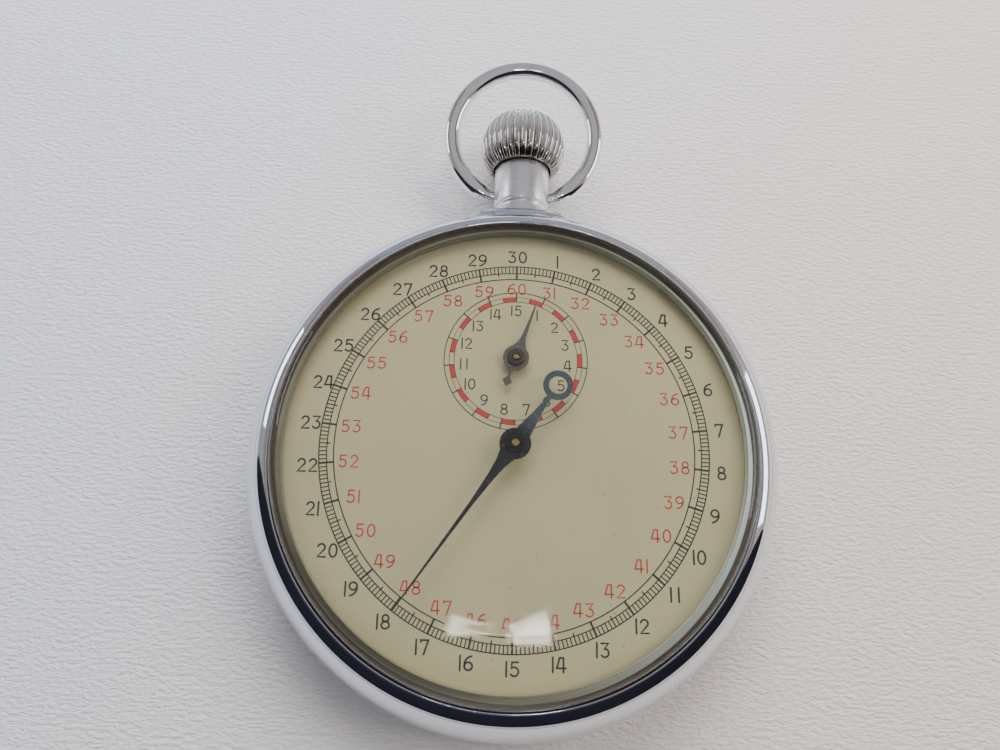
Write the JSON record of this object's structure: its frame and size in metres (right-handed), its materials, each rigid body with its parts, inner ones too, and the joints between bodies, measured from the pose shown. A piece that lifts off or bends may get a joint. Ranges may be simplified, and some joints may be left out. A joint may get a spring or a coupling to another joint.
{
  "type": "mechanical stopwatch",
  "caption": "Hand-held mechanical stopwatch: round case, domed glass, sweep seconds hand, small minute counter, fluted push crown and swinging bow.",
  "frame": {"origin": "centre of the flat of the case back, on the axis of the centre seconds hand", "axes": "+Y from the centre to the crown, +Z out through the dial and the glass, +X to the reader's right"},
  "size_m": [0.052, 0.0701, 0.0135],
  "materials": {
    "chrome": "polished chrome plate over brass",
    "satin_chrome": "satin nickel-chrome plate",
    "brass": "machined brass",
    "gilt": "gilt frosted brass",
    "steel": "ground steel",
    "blued_steel": "blued steel, nearly black",
    "spring_steel": "tempered spring steel",
    "dial": "silvered cream lacquer, aged",
    "crystal": "clear domed acrylic"
  },
  "bodies": {
    "case": {"case_middle": "chrome", "case_back": "chrome", "bezel": "chrome", "crystal": "crystal", "pendant": "satin_chrome", "dial": "dial", "mainplate": "gilt", "barrel_bridge": "gilt", "train_bridge": "gilt", "balance_cock": "gilt", "pallet_bridge": "gilt", "barrel_bridge_screw_1": "spring_steel", "barrel_bridge_screw_2": "spring_steel", "train_bridge_screw_1": "spring_steel", "train_bridge_screw_2": "spring_steel", "balance_cock_screw": "spring_steel", "pallet_bridge_screw": "spring_steel", "crown_wheel_screw": "spring_steel", "click_spring": "spring_steel", "column_jumper": "spring_steel", "push_lever_spring": "spring_steel"},
    "bow": {"bow": "chrome"},
    "plunger": {"thrust_washer": "steel"},
    "crown": {"crown": "chrome", "stem": "steel"},
    "winding_pinion": {"winding_pinion": "steel"},
    "crown_wheel": {"crown_wheel": "steel"},
    "barrel_arbor": {"barrel_arbor": "steel", "ratchet_wheel": "steel"},
    "barrel": {"barrel_drum": "brass", "barrel_cover": "brass", "mainspring": "spring_steel"},
    "second_wheel": {"second_wheel": "brass", "second_pinion": "steel"},
    "third_wheel": {"third_wheel": "brass", "third_pinion": "steel"},
    "sweep": {"sweep_arbor": "brass", "sweep_wheel": "brass", "seconds_heart": "steel", "seconds_hand": "blued_steel"},
    "escape_wheel": {"escape_wheel": "steel", "escape_pinion": "steel"},
    "pallet_fork": {"pallet_fork": "steel", "pallet_arbor": "steel"},
    "balance": {"balance_wheel": "gilt", "balance_staff": "steel", "impulse_roller": "steel", "hairspring": "spring_steel"},
    "counter": {"count_wheel": "brass", "count_pinion": "steel"},
    "minute": {"minute_wheel": "brass", "minute_arbor": "brass", "minute_heart": "steel", "minute_hand": "blued_steel"},
    "push_lever": {"push_lever": "steel"},
    "hammer": {"hammer": "steel"},
    "brake_lever": {"brake_lever": "steel"},
    "click": {"click": "steel"},
    "column_wheel": {"column_wheel": "steel"}
  },
  "joints": [
    {"name": "bow_swing", "type": "hinge", "parent": "case", "child": "bow", "pos_m": [0, 0.0284, 0.00475], "axis": [1, 0, 0], "range_deg": [-100, 90]},
    {"name": "crown_push", "type": "slide", "parent": "case", "child": "plunger", "axis": [0, -1, 0], "range_m": [0, 0.0015], "stiffness_N_per_m": 1500, "springref_m": -0.0004},
    {"name": "crown_turn", "type": "hinge", "parent": "plunger", "child": "crown", "pos_m": [0, 0.035, 0.00475], "axis": [0, 1, 0], "continuous": true},
    {"name": "winding_pinion_turn", "type": "hinge", "parent": "case", "child": "winding_pinion", "pos_m": [0, 0.017, 0.00475], "axis": [0, 1, 0], "continuous": true},
    {"name": "crown_wheel_turn", "type": "hinge", "parent": "case", "child": "crown_wheel", "pos_m": [0, 0.0138, 0.005], "axis": [0, 0, 1], "continuous": true},
    {"name": "ratchet_turn", "type": "hinge", "parent": "case", "child": "barrel_arbor", "pos_m": [-0.00783, 0.00882, 0.005], "axis": [0, 0, 1], "continuous": true},
    {"name": "seconds_turn", "type": "hinge", "parent": "case", "child": "sweep", "pos_m": [0, 0, 0.005], "axis": [0, 0, -1], "continuous": true},
    {"name": "minute_turn", "type": "hinge", "parent": "case", "child": "minute", "pos_m": [-0.00015, 0.0084, 0.005], "axis": [0, 0, -1], "continuous": true},
    {"name": "counter_turn", "type": "hinge", "parent": "case", "child": "counter", "pos_m": [0.00412, 0.00428, 0.005], "axis": [0, 0, -1], "continuous": true},
    {"name": "third_turn", "type": "hinge", "parent": "case", "child": "third_wheel", "pos_m": [-0.00447, -0.00106, 0.005], "axis": [0, 0, -1], "continuous": true},
    {"name": "second_turn", "type": "hinge", "parent": "case", "child": "second_wheel", "pos_m": [-0.0086, 0.00094, 0.005], "axis": [0, 0, -1], "continuous": true},
    {"name": "barrel_turn", "type": "hinge", "parent": "case", "child": "barrel", "pos_m": [-0.00783, 0.00882, 0.005], "axis": [0, 0, -1], "continuous": true},
    {"name": "escape_turn", "type": "hinge", "parent": "case", "child": "escape_wheel", "pos_m": [0.00223, -0.00386, 0.005], "axis": [0, 0, -1], "continuous": true},
    {"name": "fork_rock", "type": "hinge", "parent": "case", "child": "pallet_fork", "pos_m": [0.00327, -0.00716, 0.005], "axis": [0, 0, 1], "range_deg": [-4, 4]},
    {"name": "balance_swing", "type": "hinge", "parent": "case", "child": "balance", "pos_m": [0.00471, -0.01174, 0.005], "axis": [0, 0, 1], "range_deg": [-220, 220], "stiffness_Nm_per_rad": 0.000002},
    {"name": "push_lever_turn", "type": "hinge", "parent": "case", "child": "push_lever", "pos_m": [0.0085, 0.0132, 0.005], "axis": [0, 0, 1], "range_deg": [0, 10.2]},
    {"name": "hammer_turn", "type": "hinge", "parent": "case", "child": "hammer", "pos_m": [0.0065, 0.0035, 0.005], "axis": [0, 0, 1], "range_deg": [0, 3]},
    {"name": "brake_turn", "type": "hinge", "parent": "case", "child": "brake_lever", "pos_m": [0.0135, -0.0035, 0.005], "axis": [0, 0, 1], "range_deg": [0, 2]},
    {"name": "click_turn", "type": "hinge", "parent": "case", "child": "click", "pos_m": [-0.0141, 0.0058, 0.005], "axis": [0, 0, -1], "range_deg": [0, 6], "stiffness_Nm_per_rad": 0.0001, "springref_deg": -2.86},
    {"name": "column_turn", "type": "hinge", "parent": "case", "child": "column_wheel", "pos_m": [0.0128, 0.0045, 0.005], "axis": [0, 0, 1], "continuous": true}
  ],
  "couplings": [
    {"joint": "minute_turn", "follows": "seconds_turn", "ratio": 0.033333},
    {"joint": "counter_turn", "follows": "seconds_turn", "ratio": -0.16667},
    {"joint": "third_turn", "follows": "seconds_turn", "ratio": -0.125},
    {"joint": "second_turn", "follows": "seconds_turn", "ratio": 0.016667},
    {"joint": "barrel_turn", "follows": "seconds_turn", "ratio": -0.0020833},
    {"joint": "escape_turn", "follows": "seconds_turn", "ratio": -10},
    {"joint": "winding_pinion_turn", "follows": "crown_turn", "ratio": 1},
    {"joint": "crown_wheel_turn", "follows": "crown_turn", "ratio": 0.5},
    {"joint": "ratchet_turn", "follows": "crown_turn", "ratio": -0.35294},
    {"joint": "push_lever_turn", "follows": "crown_push", "rad_per_m": 117}
  ]
}
